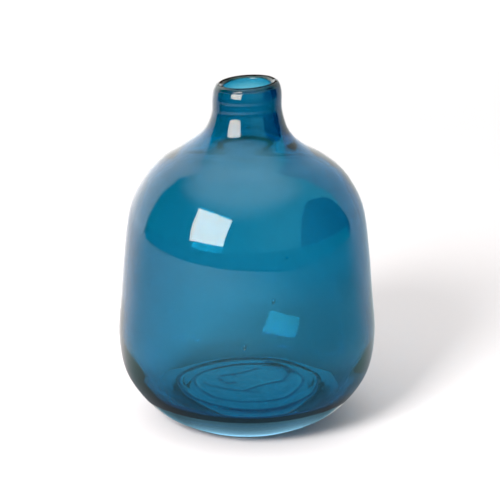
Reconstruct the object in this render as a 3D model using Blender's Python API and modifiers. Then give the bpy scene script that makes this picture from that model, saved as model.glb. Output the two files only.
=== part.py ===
"""A hand-blown bud vase of cased glass: a clear outer layer over a blue inner layer.

Metres, +Z up. The origin is the centre of the flat ground base, on the surface that the vase stands on.
The vase is open at the lip only. Both layers are turned shapes, and both follow the same slight
lean, because they were blown as one bubble.
"""

import math

import bpy
from mathutils import Vector
from mathutils.geometry import interpolate_bezier

MM = 0.001
SEGMENTS = 40
STEPS_PER_STRETCH = 2
MERGE_DISTANCE = 0.00001

# The two layers of glass
LINING_THICKNESS = 0.8 * MM
LAYER_GAP = 0.3 * MM
LINING_TOP = 146.5 * MM

# The outside of the vase, as (radius, height) in millimetres from the crown of the lip to the base
OUTSIDE = (
    (11.8, 148.5),
    (13.4, 147.4),
    (14.6, 143.5),
    (14.9, 136.0),
    (17.2, 129.0),
    (21.1, 124.0),
    (27.6, 119.0),
    (36.3, 113.5),
    (43.5, 106.0),
    (49.4, 94.0),
    (52.1, 76.0),
    (53.7, 57.0),
    (55.0, 39.0),
    (52.8, 24.0),
    (46.2, 13.0),
    (38.0, 5.5),
    (27.3, 0.0),
)

# The inside of the vase, from the crown of the lip to the middle of the raised floor
INSIDE = (
    (11.8, 148.5),
    (10.6, 148.0),
    (9.9, 146.8),
    (10.5, 141.5),
    (10.9, 135.5),
    (12.3, 129.5),
    (14.6, 125.0),
    (17.8, 121.9),
    (23.5, 118.4),
    (29.4, 114.5),
    (34.8, 110.6),
    (40.7, 104.4),
    (46.3, 93.0),
    (49.5, 76.0),
    (51.2, 57.0),
    (52.1, 39.0),
    (49.6, 26.7),
    (45.0, 18.3),
    (40.0, 13.8),
    (36.2, 12.2),
    (33.4, 12.0),
    (31.3, 12.3),
    (24.0, 12.5),
    (0.0, 12.7),
)

# Where the blown shape is off true: the neck's root sits to one side, and the lip is tilted
ROOT_SHIFT = -1.4 * MM
ROOT_HEIGHT = 119.0 * MM
ROOT_SPAN = 7.0 * MM
LIP_TILT = math.radians(4.0)
TILT_START = 128.0 * MM
TILT_END = 145.0 * MM

CLEAR_GLASS = (0.90, 0.92, 0.92)
BLUE_GLASS = (0.02, 0.30, 0.52)


def smooth_path(points):
    """The smooth curve through (radius, height) points, as vectors in metres in the XZ plane."""
    knots = [Vector((radius * MM, 0.0, height * MM)) for radius, height in points]
    padded = [knots[0], *knots, knots[-1]]
    path = []
    for before, start, end, after in zip(padded, padded[1:], padded[2:], padded[3:]):
        leaving = start + (end - before) / 6
        arriving = end - (after - start) / 6
        path += interpolate_bezier(start, leaving, arriving, end, STEPS_PER_STRETCH + 1)[:-1]
    path.append(knots[-1])
    return path


def moved_outward(path, distance):
    """The path moved along its normals, away from the inside of the vase. An end on the axis stays on it."""
    padded = [path[0], *path, path[-1]]
    moved = []
    for before, point, after in zip(padded, path, padded[2:]):
        along = (after - before).normalized()
        place = point + distance * Vector((-along.z, 0.0, along.x))
        if point.x == 0.0:
            place = point - Vector((0.0, 0.0, distance))
        moved.append(place)
    return moved


def off_true(point):
    """Where a point of the true turned shape lies on the blown shape."""
    from_root = (point.z - ROOT_HEIGHT) / ROOT_SPAN
    shift = ROOT_SHIFT * math.exp(-(from_root**2))
    along = min(max((point.z - TILT_START) / (TILT_END - TILT_START), 0.0), 1.0)
    eased = along * along * (3 - 2 * along)
    rise = point.x * math.tan(LIP_TILT) * eased
    return Vector((point.x + shift, point.y, point.z + rise))


def glass(name, color, roughness):
    material = bpy.data.materials.new(name)
    material.use_nodes = True
    shader = material.node_tree.nodes["Principled BSDF"]
    shader.inputs["Base Color"].default_value = (*color, 1.0)
    shader.inputs["Roughness"].default_value = roughness
    shader.inputs["Metallic"].default_value = 0.0
    shader.inputs["Transmission Weight"].default_value = 1.0
    shader.inputs["IOR"].default_value = 1.5
    return material


def turned(name, profile, collection, material):
    """A solid turned about Z from a profile that starts and ends on the axis, then blown off true."""
    outline = bpy.data.meshes.new(name + "_outline")
    edges = [(i, i + 1) for i in range(len(profile) - 1)]
    outline.from_pydata(profile, edges, [])
    lathe = bpy.data.objects.new(name + "_lathe", outline)
    bpy.context.scene.collection.objects.link(lathe)
    screw = lathe.modifiers.new("Turn", "SCREW")
    screw.axis = "Z"
    screw.angle = math.tau
    screw.steps = SEGMENTS
    screw.render_steps = SEGMENTS
    screw.use_merge_vertices = True
    screw.merge_threshold = MERGE_DISTANCE
    graph = bpy.context.evaluated_depsgraph_get()
    mesh = bpy.data.meshes.new_from_object(lathe.evaluated_get(graph))
    bpy.data.objects.remove(lathe)
    for vertex in mesh.vertices:
        vertex.co = off_true(vertex.co)
    mesh.name = name
    mesh.shade_smooth()
    mesh.set_sharp_from_angle(angle=math.radians(50.0))
    solid = bpy.data.objects.new(name, mesh)
    mesh.materials.append(material)
    collection.objects.link(solid)
    return solid


def casing_profile():
    """Up the seat of the lining, in over its top edge, over the lip, and down the outside to the base."""
    inside = smooth_path(INSIDE)
    lined = [point for point in inside if point.z <= LINING_TOP]
    seat = moved_outward(lined, LINING_THICKNESS + LAYER_GAP)
    lip = [point for point in inside if point.z > LINING_TOP + LAYER_GAP]
    ledge_height = LINING_TOP + LAYER_GAP
    ledge = [
        Vector((seat[0].x, 0.0, ledge_height)),
        Vector((lined[0].x, 0.0, ledge_height)),
    ]
    base_centre = Vector((0.0, 0.0, 0.0))
    return [*reversed(seat), *ledge, *reversed(lip), *smooth_path(OUTSIDE)[1:], base_centre]


def lining_profile():
    """Up the inside of the vase to the lining's top edge, and down against the casing."""
    lined = [point for point in smooth_path(INSIDE) if point.z <= LINING_TOP]
    return [*reversed(lined), *moved_outward(lined, LINING_THICKNESS)]


def build():
    for leftover in list(bpy.data.objects):
        bpy.data.objects.remove(leftover)
    vase = bpy.data.collections.new("bud_vase")
    bpy.context.scene.collection.children.link(vase)
    clear = glass("clear_glass", CLEAR_GLASS, 0.02)
    blue = glass("blue_glass", BLUE_GLASS, 0.02)
    turned("clear_glass_casing", casing_profile(), vase, clear)
    turned("blue_glass_lining", lining_profile(), vase, blue)


build()
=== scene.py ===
"""The looks of a hand-blown bud vase of blue cased glass, in a white studio with one square softbox.

Two layers of glass make the wall, as on the CAD part: a clear casing, which is the outside, the base
and the lip, and a blue lining inside it. Where the two layers meet, the glass is continuous, so the
faces there are marked as bonded and neither bend nor reflect light.
"""

import functools
import math

import bmesh
import bpy
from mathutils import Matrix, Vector, noise
from mathutils.geometry import interpolate_bezier


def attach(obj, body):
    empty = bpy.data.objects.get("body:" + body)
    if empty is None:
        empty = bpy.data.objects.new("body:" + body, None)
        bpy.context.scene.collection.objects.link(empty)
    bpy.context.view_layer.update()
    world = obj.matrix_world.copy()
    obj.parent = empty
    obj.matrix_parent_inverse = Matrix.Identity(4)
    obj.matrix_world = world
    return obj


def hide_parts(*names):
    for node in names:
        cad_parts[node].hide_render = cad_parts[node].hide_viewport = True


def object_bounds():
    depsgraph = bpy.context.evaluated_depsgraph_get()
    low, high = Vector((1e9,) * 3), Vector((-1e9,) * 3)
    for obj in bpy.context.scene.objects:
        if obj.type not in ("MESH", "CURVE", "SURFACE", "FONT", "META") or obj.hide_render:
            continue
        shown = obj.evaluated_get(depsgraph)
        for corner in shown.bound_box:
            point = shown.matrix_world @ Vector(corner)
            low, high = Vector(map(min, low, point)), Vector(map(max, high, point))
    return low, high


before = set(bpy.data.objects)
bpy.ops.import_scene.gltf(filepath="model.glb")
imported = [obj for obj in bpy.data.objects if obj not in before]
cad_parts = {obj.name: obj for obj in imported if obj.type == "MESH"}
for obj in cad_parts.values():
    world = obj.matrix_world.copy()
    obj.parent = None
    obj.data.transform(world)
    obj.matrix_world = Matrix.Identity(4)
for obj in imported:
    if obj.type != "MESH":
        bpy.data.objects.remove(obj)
cad_low, cad_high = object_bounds()

MM = 0.001
SEGMENTS = 192
STEPS_PER_STRETCH = 12
STEPS_ON_FLOOR = 40

# The glass wall. The lining is thicker in the neck, and it ends just over the crown of the lip.
LINING_THICKNESS = 0.8 * MM
NECK_THICKNESS = 1.0 * MM
NECK_OFF_CENTRE = 0.35 * MM
LIP_THICKNESS = 1.3 * MM
SHOULDER_TOP = 120.0 * MM
NECK_START = 128.0 * MM
LIP_START = 144.0 * MM
LIP_END = 147.5 * MM
LINING_END = 146.6 * MM
LINING_TAPER = 1.2 * MM
BOND_GAP = 0.02 * MM

# The blown surface: its slow waves, as (length, height). The outside is still at the base, and the inside
# has only the lining's own waves above the shoulder.
OUTSIDE_WAVES = ((26.0 * MM, 0.16 * MM), (9.0 * MM, 0.018 * MM))
INSIDE_WAVES = ((19.0 * MM, 0.20 * MM),)
LINING_WAVES = ((14.0 * MM, 0.05 * MM), (4.5 * MM, 0.008 * MM))
STILL_HEIGHT = 4.0 * MM
STILL_SHOULDER = 108.0 * MM

# Ridges left in the soft floor, where the blue glass is thicker, in millimetres: first the rings, as
# (radius, height, half width), then the folds, as three points of a curve, the height and the half width
FLOOR_RINGS = ((31.5, 0.9, 0.6), (30.0, -0.3, 0.7), (24.3, 0.6, 0.6), (23.0, -0.3, 0.7))
FLOOR_FOLDS = (
    ((9.0, 25.0), (15.0, 20.0), (18.5, 13.0), 1.2, 2.0),
    ((18.5, 13.0), (17.0, 6.0), (15.5, 0.0), 0.8, 0.8),
    ((-6.5, 9.0), (-16.0, 10.0), (-12.0, 0.0), 0.8, 0.6),
    ((-12.0, 0.0), (-10.0, -6.0), (-6.0, -3.0), 0.8, 0.6),
    ((-7.0, 9.0), (-1.0, 15.0), (4.5, 18.0), 0.7, 0.6),
    ((-0.5, -11.0), (5.0, -3.0), (13.5, 1.0), -0.45, 0.9),
    ((-1.0, -13.5), (6.0, -6.0), (15.0, -2.0), 0.8, 0.7),
    ((-20.0, -4.0), (-10.0, -14.0), (4.0, -15.0), 0.6, 0.6),
)

# Bubbles in the clear layer, as (height, turn about the axis in degrees, half length) in millimetres
SEED_DEPTH = 0.85 * MM
SEED_SLIMNESS = 0.6
SEEDS = (
    (69.0, 12.0, 1.1),
    (50.0, -1.0, 1.2),
    (92.0, 40.0, 0.5),
    (58.0, 160.0, 0.7),
    (84.0, 215.0, 0.5),
)

# The outside of the vase, as (radius, height) in millimetres from the crown of the lip to the base
OUTSIDE = (
    (11.8, 148.5),
    (13.4, 147.4),
    (14.6, 143.5),
    (14.9, 136.0),
    (17.2, 129.0),
    (21.1, 124.0),
    (27.6, 119.0),
    (36.3, 113.5),
    (43.5, 106.0),
    (49.4, 94.0),
    (52.1, 76.0),
    (53.7, 57.0),
    (55.0, 39.0),
    (52.8, 24.0),
    (46.2, 13.0),
    (38.0, 5.5),
    (27.3, 0.0),
)

# The inside of the vase, from the crown of the lip to the middle of the raised floor
INSIDE = (
    (11.8, 148.5),
    (10.6, 148.0),
    (9.9, 146.8),
    (10.5, 141.5),
    (10.9, 135.5),
    (12.3, 129.5),
    (14.6, 125.0),
    (17.8, 121.9),
    (23.5, 118.4),
    (29.4, 114.5),
    (34.8, 110.6),
    (40.7, 104.4),
    (46.3, 93.0),
    (49.5, 76.0),
    (51.2, 57.0),
    (52.1, 39.0),
    (49.6, 26.7),
    (45.0, 18.3),
    (40.0, 13.8),
    (36.2, 12.2),
    (33.4, 12.0),
    (31.3, 12.3),
    (24.0, 12.5),
    (0.0, 12.7),
)

# Where the blown shape is off true: the neck's root sits to the left, the inside of the heel sits to the
# right, and the lip is tilted
ROOT_SHIFT = -1.4 * MM
ROOT_HEIGHT = 119.0 * MM
ROOT_SPAN = 7.0 * MM
LIP_TILT = math.radians(4.0)
TILT_START = 128.0 * MM
TILT_END = 145.0 * MM
HEEL_SHIFT = 0.7 * MM
HEEL_FOOT = 9.0 * MM
HEEL_HEIGHT = 30.0 * MM
FLOOR_TOP = 14.0 * MM
FLOOR_RADIUS = 33.0 * MM

# The glass: its refraction, the tint of what it mirrors, and what it lets through
IOR = 1.5
REFLECTION_TINT = (0.5, 1.0, 1.0)
CLEAR_GLASS = (0.80, 0.90, 0.92)
CLEAR_DENSITY = 12.0
BLUE_GLASS = (0.25, 0.74, 0.83)
BLUE_DENSITY = 4250.0

# The camera
CAMERA_ELEVATION = math.radians(17.73)
CAMERA_RANGE = 1.071
LENS = 180.9
AIM_ASIDE = 1.3 * MM

# The studio. Azimuth 0 is towards the camera at -Y, and +X is positive. The key lamp isn't mirrored, so it
# stands where its shadow falls best, a little aside of the softbox that is mirrored.
LIGHT_CENTRE = Vector((0.0, 0.0, 0.1))
SOFTBOX_AZIMUTH = math.radians(-39.0)
SOFTBOX_ELEVATION = math.radians(24.5)
SOFTBOX_RANGE = 1.2
SOFTBOX_SIDE = 0.76
# The softbox is two glowing faces that light nothing: painted highlights on the outside and seen through
# the glass
SOFTBOX_HIGHLIGHT = (28.0, 12.9, 10.0)
SOFTBOX_HIGHLIGHT_THROUGH_GLASS = (32.0, 21.0, 18.0)
KEY_AZIMUTH = math.radians(-29.0)
KEY_ELEVATION = math.radians(30.0)
KEY_RANGE = 1.201
KEY_SIDE = 0.36
KEY_POWER = 30.0
# The floor is painted paler far from the vase, where less of the key lamp's light falls on it
TABLE_COLOR = (0.54, 0.52, 0.52)
TABLE_FAR_COLOR = (0.82, 0.82, 0.82)
FLOOR_HALF_SIDE = 10.0
FLOOR_DROP = 0.05 * MM
WORLD_LEVEL = (0.76, 0.76, 0.76)
WORLD_CEILING = (2.2, 2.2, 2.2)
WORLD_BEHIND = (1.6, 1.6, 1.6)

# What the vase mirrors, painted on glowing cards that light nothing: painted reflections, and painted light
# seen through the glass. Colours are linear radiance, and sizes and places are metres.
ROOM_RADIUS = 6.5
ROOM_FRONT_LEFT = (0.0, 0.85, 0.85)
ROOM_FRONT_RIGHT = (0.35, 1.3, 1.3)
ROOM_CEILING = (2.7, 2.6, 2.5)
ROOM_BACK_LEFT = (2.0, 1.95, 1.95)
ROOM_BACK_RIGHT = (0.75, 0.78, 0.8)
# A dark patch painted into the mirrored wall behind the vase: a painted dark reflection
MIRRORED_DARK_PATCH = (0.12, 0.08, 0.06)
MIRRORED_DARK_PATCH_SIDE = (0.34, 0.22)
MIRRORED_DARK_PATCH_FOOT = (0.2, 0.3)
TABLE_RADIUS = 0.87
TABLE_OFFSET = -0.13
TABLE_SEGMENTS = 96
TABLE_OVERLAP = 0.1
# Painted light and shade on the mirrored table: a lit patch towards the softbox, dim ahead, darker behind
# at the right, and painted shade close to the vase, with painted blue light in front of it
TABLE_LIT = (2.1, 2.0, 2.0)
TABLE_DIM = (0.1, 0.6, 0.6)
TABLE_BEHIND_LEFT = (1.3, 1.25, 1.25)
TABLE_BEHIND_RIGHT = (0.65, 0.75, 0.8)
TABLE_NEAR = (0.15, 0.28, 0.42)
TABLE_NEAR_ASIDE = (0.12, 0.1, 0.13)
TABLE_END = (0.0, 0.5, 0.5)
LIT_CENTRE = (-0.5, -0.65, 0.0)
LIT_REACH = 1.3
NECK_SHADE = (0.0, 0.6, 0.6)
NECK_SHADE_RANGE = 0.2
NECK_SHADE_HEIGHTS = (0.068, 0.095)
NECK_SHADE_TURN = 100
NECK_SHADE_STEP = 5
FLAG_RANGE = 1.0
FLAG_CENTRE = -0.17
FLAG_HALF_WIDTH = 0.64
FLAG_HEIGHT = 0.92
FLAG_SEGMENTS = 24
BASE_GLOW = (0.8, 0.8, 0.8)
BLUE_POOL = (0.5, 1.08, 1.5)
BLUE_POOL_ASIDE = (0.22, 0.45, 0.58)
GLOW_CENTRE = (1.0 * MM, 1.0 * MM)
GLOW_RADIUS = 27.0 * MM
BLUE_POOL_RADIUS = 45.0 * MM
BASE_SEGMENTS = 64
CARD_DROP = 0.03 * MM

# Where one colour gives way to the next, as cosines from a direction or as lengths from the axis. Each
# AWAY pair is such a direction, as azimuth and elevation.
SIDE_EDGE = (-0.6, 0.6)
FRONT_SIDE_EDGE = (-0.3, 0.6)
ROOM_CEILING_AWAY = (math.radians(-45.0), math.radians(84.0))
ROOM_CEILING_EDGE = (0.66, 0.97)
ROOM_BACK_EDGE = (0.36, 0.44)
WORLD_CEILING_AWAY = (math.radians(-45.0), math.radians(75.0))
WORLD_CEILING_EDGE = (0.62, 0.95)
WORLD_BEHIND_EDGE = (0.47, 0.55)
FRONT_AZIMUTH = math.radians(5.0)
FRONT_EDGE = (0.5, 0.95)
TABLE_BEHIND_EDGE = (0.1, 0.6)
TABLE_BEHIND_START = 0.25
TABLE_NEAR_LENGTHS = (0.02, 0.15)
TABLE_COLOR_LENGTHS = (0.35, 1.5)
BLUE_POOL_BACK_EDGE = (-0.35, 0.0)

RIGHT = Vector((1.0, 0.0, 0.0))
BACK = Vector((0.0, 1.0, 0.0))
UP = Vector((0.0, 0.0, 1.0))


def smooth_path(points):
    """The smooth curve through (radius, height) points, as vectors in metres in the XZ plane."""
    knots = [Vector((radius * MM, 0.0, height * MM)) for radius, height in points]
    padded = [knots[0], *knots, knots[-1]]
    path = []
    for before, start, end, after in zip(padded, padded[1:], padded[2:], padded[3:]):
        leaving = start + (end - before) / 6
        arriving = end - (after - start) / 6
        on_floor = end.z > 0.0 and start.z < FLOOR_TOP and start.x < FLOOR_RADIUS
        steps = STEPS_ON_FLOOR if on_floor else STEPS_PER_STRETCH
        path += interpolate_bezier(start, leaving, arriving, end, steps + 1)[:-1]
    path.append(knots[-1])
    return path


def eased(value, start, end):
    """A smooth rise from 0 at start to 1 at end."""
    along = min(max((value - start) / (end - start), 0.0), 1.0)
    return along * along * (3 - 2 * along)


def lining_depth(height):
    depth = LINING_THICKNESS
    depth += (NECK_THICKNESS - LINING_THICKNESS) * eased(height, SHOULDER_TOP, NECK_START)
    return depth + (LIP_THICKNESS - NECK_THICKNESS) * eased(height, LIP_START, LIP_END)


def lining_path():
    """Over the crown of the lip and down the inside to the middle of the floor."""
    over = [point for point in smooth_path(OUTSIDE)[1:] if point.z > LINING_END]
    return [*reversed(over), *smooth_path(INSIDE)]


def moved_outward(path, extra):
    """The path moved into the wall by the lining's depth, which grows from nothing, and by extra."""
    padded = [path[0], *path, path[-1]]
    moved = []
    length = 0.0
    for before, point, after in zip(padded, path, padded[2:]):
        along = (after - before).normalized()
        length += (point - before).length
        distance = lining_depth(point.z) * math.sqrt(min(length / LINING_TAPER, 1.0)) + extra
        place = point + distance * Vector((-along.z, 0.0, along.x))
        if point.x == 0.0:
            place = point - Vector((0.0, 0.0, distance))
        moved.append(place)
    return moved


def off_true(point, kind):
    """Where a point of the true turned shape lies on the blown shape."""
    from_root = (point.z - ROOT_HEIGHT) / ROOT_SPAN
    shift = Vector((ROOT_SHIFT * math.exp(-(from_root**2)), 0.0, 0.0))
    shift.z = point.x * math.tan(LIP_TILT) * eased(point.z, TILT_START, TILT_END)
    below_lip = 1.0 - eased(point.z, LIP_START, LIP_END)
    if kind in ("outside", "base"):
        wave = waves(point, OUTSIDE_WAVES) * eased(point.z, 0.0, STILL_HEIGHT)
    else:
        wave = waves(point, INSIDE_WAVES) * (1.0 - eased(point.z, STILL_SHOULDER, SHOULDER_TOP))
        shift.x += HEEL_SHIFT * (1.0 - eased(point.z, HEEL_FOOT, HEEL_HEIGHT))
    if kind == "bond":
        shift.y -= NECK_OFF_CENTRE * eased(point.z, SHOULDER_TOP, NECK_START) * below_lip
    if kind == "inside":
        wave += waves(point, LINING_WAVES)
        if point.z < FLOOR_TOP:
            shift.z += ridge_height(point)
    inward = Vector((-point.x, -point.y, 0.0)).normalized()
    return point + wave * below_lip * inward + shift


def waves(point, layers):
    """How far the blown surface sinks at a point, never less than nothing."""
    return sum(height * (0.5 + 0.5 * noise.noise(point / length)) for length, height in layers)


def ridge_height(point):
    height = 0.0
    radius = math.hypot(point.x, point.y)
    for ring, tall, wide in FLOOR_RINGS:
        height += tall * MM * math.exp(-(((radius - ring * MM) / (wide * MM)) ** 2))
    for start, middle, end, tall, wide in FLOOR_FOLDS:
        nearest = min((point.xy - place).length for place in curve_points(start, middle, end))
        height += tall * MM * math.exp(-((nearest / (wide * MM)) ** 2))
    return height


@functools.cache
def curve_points(start, middle, end):
    """Points along the quadratic curve from start to end that middle pulls towards itself."""
    count = 40
    first, second, third = (MM * Vector(place) for place in (start, middle, end))
    steps = [i / count for i in range(count + 1)]
    return [(1 - t) ** 2 * first + 2 * t * (1 - t) * second + t * t * third for t in steps]


def turned(name, profile, kinds):
    """A closed mesh turned about Z. kinds says what each stretch of the profile is.

    Light goes straight through a bond, and through the base to the cards under it.
    """
    vertices = []
    rings = []
    for place, kind in zip(profile, [*kinds, kinds[-1]]):
        if place.x == 0.0:
            rings.append([len(vertices)])
            vertices.append(off_true(Vector((0.0, 0.0, place.z)), kind))
            continue
        rings.append(range(len(vertices), len(vertices) + SEGMENTS))
        for step in range(SEGMENTS):
            angle = math.tau * step / SEGMENTS
            point = Vector((place.x * math.cos(angle), place.x * math.sin(angle), place.z))
            vertices.append(off_true(point, kind))
    faces = []
    marks = []
    for first, second, kind in zip(rings, rings[1:], kinds):
        for here in range(SEGMENTS):
            beside = (here + 1) % SEGMENTS
            if len(first) == 1:
                faces.append((first[0], second[here], second[beside]))
            elif len(second) == 1:
                faces.append((first[beside], first[here], second[0]))
            else:
                faces.append((first[here], second[here], second[beside], first[beside]))
            marks.append(1.0 if kind in ("bond", "base") else 0.0)
    mesh = bpy.data.meshes.new(name)
    mesh.from_pydata(vertices, [], faces)
    layer = mesh.attributes.new("bonded", "FLOAT", "FACE")
    layer.data.foreach_set("value", marks)
    mesh.shade_smooth()
    piece = bpy.data.objects.new(name, mesh)
    bpy.context.scene.collection.objects.link(piece)
    return piece


def glass(name, let_through, density):
    """Glass that bends and mirrors light, except at the faces that are marked as bonded."""
    material = bpy.data.materials.new(name)
    material.use_nodes = True
    nodes = material.node_tree.nodes
    links = material.node_tree.links
    shader = nodes["Principled BSDF"]
    shader.inputs["Base Color"].default_value = (1.0, 1.0, 1.0, 1.0)
    shader.inputs["Roughness"].default_value = 0.0
    shader.inputs["Transmission Weight"].default_value = 1.0
    shader.inputs["Specular Tint"].default_value = (*REFLECTION_TINT, 1.0)
    bond = nodes.new("ShaderNodeAttribute")
    bond.attribute_name = "bonded"
    index = nodes.new("ShaderNodeMapRange")
    index.inputs["To Min"].default_value = IOR
    index.inputs["To Max"].default_value = 1.0
    links.new(bond.outputs["Fac"], index.inputs["Value"])
    links.new(index.outputs["Result"], shader.inputs["IOR"])
    volume = nodes.new("ShaderNodeVolumeAbsorption")
    volume.inputs["Color"].default_value = (*let_through, 1.0)
    volume.inputs["Density"].default_value = density
    links.new(volume.outputs["Volume"], nodes["Material Output"].inputs["Volume"])
    return material


def build_casing():
    seat = moved_outward(lining_path(), BOND_GAP)
    outside = [point for point in smooth_path(OUTSIDE) if point.z <= LINING_END]
    profile = [*reversed(seat), *outside, Vector((0.0, 0.0, 0.0))]
    kinds = ["bond"] * (len(seat) - 1) + ["outside"] * len(outside) + ["base"]
    casing = turned("clear_casing", profile, kinds)
    add_seeds(casing)
    casing.data.materials.append(glass("clear_casing_glass", CLEAR_GLASS, CLEAR_DENSITY))
    return casing


def add_seeds(casing):
    """Bubbles, as small closed hollows in the clear layer whose faces point into them."""
    whole = bmesh.new()
    whole.from_mesh(casing.data)
    outside = smooth_path(OUTSIDE)
    for height, turn, half_length in SEEDS:
        wall = min(outside, key=lambda point: abs(point.z - height * MM))
        from_axis = wall.x - SEED_DEPTH
        centre = from_axis * direction(math.radians(turn), 0.0) + height * MM * UP
        made = bmesh.ops.create_icosphere(whole, subdivisions=3, radius=half_length * MM)["verts"]
        bubble = list({face for vertex in made for face in vertex.link_faces})
        bmesh.ops.reverse_faces(whole, faces=bubble)
        for vertex in made:
            vertex.co = centre + vertex.co * Vector((SEED_SLIMNESS, SEED_SLIMNESS, 1.0))
        for face in bubble:
            face.smooth = True
    whole.to_mesh(casing.data)
    whole.free()


def build_lining():
    lined = lining_path()
    profile = [*reversed(lined), *moved_outward(lined, 0.0)]
    kinds = ["inside"] * (len(lined) - 1) + ["bond"] * len(lined)
    lining = turned("blue_lining", profile, kinds)
    lining.data.materials.append(glass("blue_lining_glass", BLUE_GLASS, BLUE_DENSITY))
    return lining


def direction(azimuth, elevation):
    """Azimuth 0 is towards the camera at -Y, and +X is positive."""
    return Vector(
        (
            math.sin(azimuth) * math.cos(elevation),
            -math.cos(azimuth) * math.cos(elevation),
            math.sin(elevation),
        )
    )


def aim(piece, centre, away, distance):
    """Puts a light, a card or the camera at a distance from the centre, turned to look at it."""
    piece.location = centre + distance * away
    piece.rotation_euler = away.to_track_quat("Z", "Y").to_euler()


def outline_mesh(name, points):
    mesh = bpy.data.meshes.new(name)
    mesh.from_pydata(points, [], [tuple(range(len(points)))])
    return mesh


def square(half):
    return [(-half, -half, 0.0), (half, -half, 0.0), (half, half, 0.0), (-half, half, 0.0)]


def circle(radius, count, aside=0.0):
    """A level circle just under the base. Its last point is its first again, so two circles make a ring."""
    turn = [math.tau * i / count for i in range(count + 1)]
    height = cad_low.z - CARD_DROP
    return [(aside + radius * math.sin(a), -radius * math.cos(a), height) for a in turn]


def build_floor():
    mesh = outline_mesh("floor", square(FLOOR_HALF_SIDE))
    floor = bpy.data.objects.new("floor", mesh)
    floor.location.z = cad_low.z - FLOOR_DROP
    bpy.context.scene.collection.objects.link(floor)
    material = bpy.data.materials.new("pale_floor")
    material.use_nodes = True
    shader = material.node_tree.nodes["Principled BSDF"]
    tree = material.node_tree
    place = tree.nodes.new("ShaderNodeTexCoord").outputs["Object"]
    # Painted paler far off, to make up for the key lamp's light falling off there
    away = ranged(tree, length_from(tree, place), *TABLE_COLOR_LENGTHS)
    tree.links.new(blended(tree, away, TABLE_COLOR, TABLE_FAR_COLOR), shader.inputs["Base Color"])
    shader.inputs["Roughness"].default_value = 0.5
    shader.inputs["Specular IOR Level"].default_value = 0.0
    mesh.materials.append(material)


def card(name, mesh, color, through_glass=False):
    """A studio card that glows but lights nothing: a painted reflection that only reflections see, or also
    what is seen through glass.

    Its colour is a value, or a function that makes it from a node tree and the place on the card.
    """
    piece = bpy.data.objects.new(name, mesh)
    bpy.context.scene.collection.objects.link(piece)
    material = bpy.data.materials.new(name)
    material.use_nodes = True
    tree = material.node_tree
    tree.nodes.remove(tree.nodes["Principled BSDF"])
    light = tree.nodes.new("ShaderNodeEmission")
    tree.links.new(light.outputs["Emission"], tree.nodes["Material Output"].inputs["Surface"])
    if callable(color):
        place = tree.nodes.new("ShaderNodeTexCoord").outputs["Object"]
        tree.links.new(color(tree, place), light.inputs["Color"])
    else:
        light.inputs["Color"].default_value = (*color, 1.0)
    mesh.materials.append(material)
    piece.visible_camera = False
    piece.visible_diffuse = False
    piece.visible_shadow = False
    piece.visible_transmission = through_glass
    return piece


def ranged(tree, source, start, end):
    """A smooth rise from 0 where the source is start to 1 where it is end."""
    node = tree.nodes.new("ShaderNodeMapRange")
    node.interpolation_type = "SMOOTHSTEP"
    node.inputs["From Min"].default_value = start
    node.inputs["From Max"].default_value = end
    tree.links.new(source, node.inputs["Value"])
    return node.outputs["Result"]


def blended(tree, fraction, first, second, blend_type="MIX"):
    """A colour mix. Each of fraction, first and second is a socket or a value.

    The mix node has sockets for every type of data. Inputs 6 and 7 and output 2 are those for colours.
    """
    node = tree.nodes.new("ShaderNodeMix")
    node.data_type = "RGBA"
    node.blend_type = blend_type
    for socket, value in ((node.inputs[0], fraction), (node.inputs[6], first), (node.inputs[7], second)):
        if isinstance(value, bpy.types.NodeSocket):
            tree.links.new(value, socket)
        elif isinstance(value, tuple):
            socket.default_value = (*value, 1.0)
        else:
            socket.default_value = value
    return node.outputs[2]


def facing(tree, vector, towards):
    """The cosine between a vector and a direction."""
    unit = tree.nodes.new("ShaderNodeVectorMath")
    unit.operation = "NORMALIZE"
    tree.links.new(vector, unit.inputs[0])
    dot = tree.nodes.new("ShaderNodeVectorMath")
    dot.operation = "DOT_PRODUCT"
    tree.links.new(unit.outputs["Vector"], dot.inputs[0])
    dot.inputs[1].default_value = towards
    return dot.outputs["Value"]


def length_from(tree, place, centre=(0.0, 0.0, 0.0)):
    away = tree.nodes.new("ShaderNodeVectorMath")
    away.operation = "DISTANCE"
    tree.links.new(place, away.inputs[0])
    away.inputs[1].default_value = centre
    return away.outputs["Value"]


def sideways(tree, place, left, right):
    """A colour at the left of the vase that gives way to another at the right."""
    return blended(tree, ranged(tree, facing(tree, place, RIGHT), *SIDE_EDGE), left, right)


def in_front(tree, place):
    """1 in front of the vase, and 0 at its sides and behind it."""
    return ranged(tree, facing(tree, place, direction(FRONT_AZIMUTH, 0.0)), *FRONT_EDGE)


def with_wall(tree, place, front):
    """The colour in front of the vase, and the painted reflection of a wall behind it, with a painted dark
    patch in its middle.
    """
    side = facing(tree, place, RIGHT)
    edge, middle = MIRRORED_DARK_PATCH_SIDE
    right_of = ranged(tree, side, -edge, -middle)
    left_of = ranged(tree, side, edge, middle)
    above = ranged(tree, facing(tree, place, UP), *MIRRORED_DARK_PATCH_FOOT)
    dark_patch = blended(tree, 1.0, blended(tree, 1.0, right_of, left_of, "MULTIPLY"), above, "MULTIPLY")
    wall = blended(tree, dark_patch, sideways(tree, place, ROOM_BACK_LEFT, ROOM_BACK_RIGHT), MIRRORED_DARK_PATCH)
    return blended(tree, ranged(tree, facing(tree, place, BACK), *ROOM_BACK_EDGE), front, wall)


def room_color(tree, place):
    side = ranged(tree, facing(tree, place, RIGHT), *FRONT_SIDE_EDGE)
    low = blended(tree, side, ROOM_FRONT_LEFT, ROOM_FRONT_RIGHT)
    up = facing(tree, place, direction(*ROOM_CEILING_AWAY))
    front = blended(tree, ranged(tree, up, *ROOM_CEILING_EDGE), low, ROOM_CEILING)
    return with_wall(tree, place, front)


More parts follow.
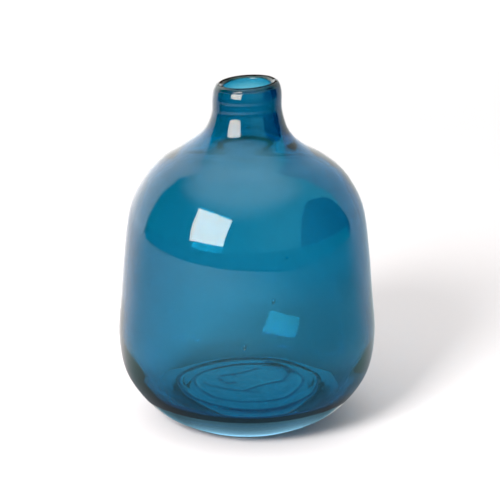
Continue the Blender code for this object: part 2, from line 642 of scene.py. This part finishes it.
def build_room():
    """A painted reflection of the room above the table: a pale ceiling, a dim front, and a wall behind."""
    whole = bmesh.new()
    bmesh.ops.create_uvsphere(whole, u_segments=64, v_segments=32, radius=ROOM_RADIUS)
    below = [vertex for vertex in whole.verts if vertex.co.z < -MM]
    bmesh.ops.delete(whole, geom=below, context="VERTS")
    mesh = bpy.data.meshes.new("room")
    whole.to_mesh(mesh)
    whole.free()
    card("room", mesh, room_color)


def table_top_color(tree, place):
    """The table's painted light and shade in reflection: a painted lit patch towards the softbox, painted
    shade close to the vase, and the wall's colour far behind it.
    """
    towards_patch = ranged(tree, length_from(tree, place, LIT_CENTRE), LIT_REACH, 0.0)
    ahead = blended(tree, towards_patch, TABLE_DIM, TABLE_LIT)
    away = length_from(tree, place)
    behind = blended(
        tree,
        ranged(tree, away, TABLE_BEHIND_START, TABLE_RADIUS),
        sideways(tree, place, TABLE_BEHIND_LEFT, TABLE_BEHIND_RIGHT),
        sideways(tree, place, ROOM_BACK_LEFT, ROOM_BACK_RIGHT),
    )
    lit = blended(tree, ranged(tree, facing(tree, place, BACK), *TABLE_BEHIND_EDGE), ahead, behind)
    close = blended(tree, in_front(tree, place), TABLE_NEAR_ASIDE, TABLE_NEAR)
    return blended(tree, ranged(tree, away, *TABLE_NEAR_LENGTHS), close, lit)


def table_end_color(tree, place):
    return with_wall(tree, place, TABLE_END)


def build_table():
    """Painted reflections of the table, with its light and shade painted on, and of what lies past the
    table's edge.
    """
    near = circle(BLUE_POOL_RADIUS, TABLE_SEGMENTS)
    edge = circle(TABLE_RADIUS, TABLE_SEGMENTS, TABLE_OFFSET)
    far = circle(ROOM_RADIUS + TABLE_OVERLAP, TABLE_SEGMENTS)
    card("table_top", outline_mesh("table_top", near + edge[::-1]), table_top_color)
    card("table_end", outline_mesh("table_end", far + edge[::-1]), table_end_color)


def build_softbox():
    """Two glowing faces in one place that light nothing, painted highlights: one that the outside mirrors,
    and one that is seen through the glass.
    """
    away = direction(SOFTBOX_AZIMUTH, SOFTBOX_ELEVATION)
    for name, color, through_glass in (
        ("softbox_highlight", SOFTBOX_HIGHLIGHT, False),
        ("softbox_highlight_through_glass", SOFTBOX_HIGHLIGHT_THROUGH_GLASS, True),
    ):
        face = card(name, outline_mesh(name, square(SOFTBOX_SIDE / 2)), color, through_glass)
        face.visible_glossy = not through_glass
        aim(face, LIGHT_CENTRE, away, SOFTBOX_RANGE)


def build_flag():
    """A black arch at the right, whose reflection is the dark patch on the right of the body."""
    arch = [math.pi * i / FLAG_SEGMENTS for i in range(FLAG_SEGMENTS + 1)]
    outline = [
        (FLAG_RANGE, FLAG_CENTRE + FLAG_HALF_WIDTH * math.cos(a), FLAG_HEIGHT * math.sin(a)) for a in arch
    ]
    card("flag", outline_mesh("flag", outline), (0.0, 0.0, 0.0))


def build_neck_shade():
    """A strip bent round the front of the vase, which keeps the bright ceiling off the body's middle."""
    turns = range(-NECK_SHADE_TURN, NECK_SHADE_TURN + 1, NECK_SHADE_STEP)
    arc = [math.radians(turn) for turn in turns]
    reach = NECK_SHADE_RANGE
    strip = [
        (reach * math.sin(a), -reach * math.cos(a), height) for height in NECK_SHADE_HEIGHTS for a in arc
    ]
    count = len(arc)
    mesh = bpy.data.meshes.new("neck_shade")
    mesh.from_pydata(strip, [], [(i, i + 1, i + 1 + count, i + count) for i in range(count - 1)])
    card("neck_shade", mesh, NECK_SHADE)


def blue_pool_color(tree, place):
    front = blended(tree, in_front(tree, place), BLUE_POOL_ASIDE, BLUE_POOL)
    back = ranged(tree, facing(tree, place, BACK), *BLUE_POOL_BACK_EDGE)
    return blended(tree, back, front, BASE_GLOW)


def build_base_light():
    """The light that comes back up through the base, and the blue light on the table round it."""
    disc = circle(GLOW_RADIUS, BASE_SEGMENTS)[:-1]
    glow = card("base_glow", outline_mesh("base_glow", disc), BASE_GLOW, through_glass=True)
    glow.location.xy = GLOW_CENTRE
    glow.visible_glossy = False
    rim = circle(OUTSIDE[-1][0] * MM, BASE_SEGMENTS)
    edge = circle(BLUE_POOL_RADIUS, BASE_SEGMENTS)
    card("blue_pool", outline_mesh("blue_pool", rim + edge[::-1]), blue_pool_color, through_glass=True)


def build_key():
    light = bpy.data.lights.new("key", "AREA")
    light.shape = "SQUARE"
    light.size = KEY_SIDE
    light.energy = KEY_POWER
    key = bpy.data.objects.new("key", light)
    aim(key, LIGHT_CENTRE, direction(KEY_AZIMUTH, KEY_ELEVATION), KEY_RANGE)
    key.visible_glossy = False
    key.visible_transmission = False
    bpy.context.scene.collection.objects.link(key)


def build_world():
    world = bpy.data.worlds.new("studio")
    bpy.context.scene.world = world
    world.use_nodes = True
    tree = world.node_tree
    place = tree.nodes.new("ShaderNodeTexCoord").outputs["Generated"]
    up = facing(tree, place, direction(*WORLD_CEILING_AWAY))
    overhead = blended(tree, ranged(tree, up, *WORLD_CEILING_EDGE), WORLD_LEVEL, WORLD_CEILING)
    back = ranged(tree, facing(tree, place, BACK), *WORLD_BEHIND_EDGE)
    behind = blended(tree, back, (0.0, 0.0, 0.0), WORLD_BEHIND)
    color = blended(tree, 1.0, overhead, behind, "LIGHTEN")
    tree.links.new(color, tree.nodes["Background"].inputs["Color"])


def build_camera():
    data = bpy.data.cameras.new("camera")
    data.lens = LENS
    data.sensor_width = 36.0
    camera = bpy.data.objects.new("camera", data)
    centre = (cad_low + cad_high) / 2 + AIM_ASIDE * RIGHT
    aim(camera, centre, direction(0.0, CAMERA_ELEVATION), CAMERA_RANGE)
    bpy.context.scene.collection.objects.link(camera)
    bpy.context.scene.camera = camera


casing = build_casing()
lining = build_lining()
for piece, node, slot in (
    (casing, "clear_glass_casing", "clear_glass"),
    (lining, "blue_glass_lining", "blue_glass"),
):
    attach(piece, "root")
    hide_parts(node)
build_floor()
build_room()
build_table()
build_softbox()
build_flag()
build_neck_shade()
build_base_light()
build_key()
build_world()
build_camera()

scene = bpy.context.scene
scene.view_settings.view_transform = "Standard"
scene.cycles.max_bounces = 24
scene.cycles.transmission_bounces = 24
scene.cycles.glossy_bounces = 12
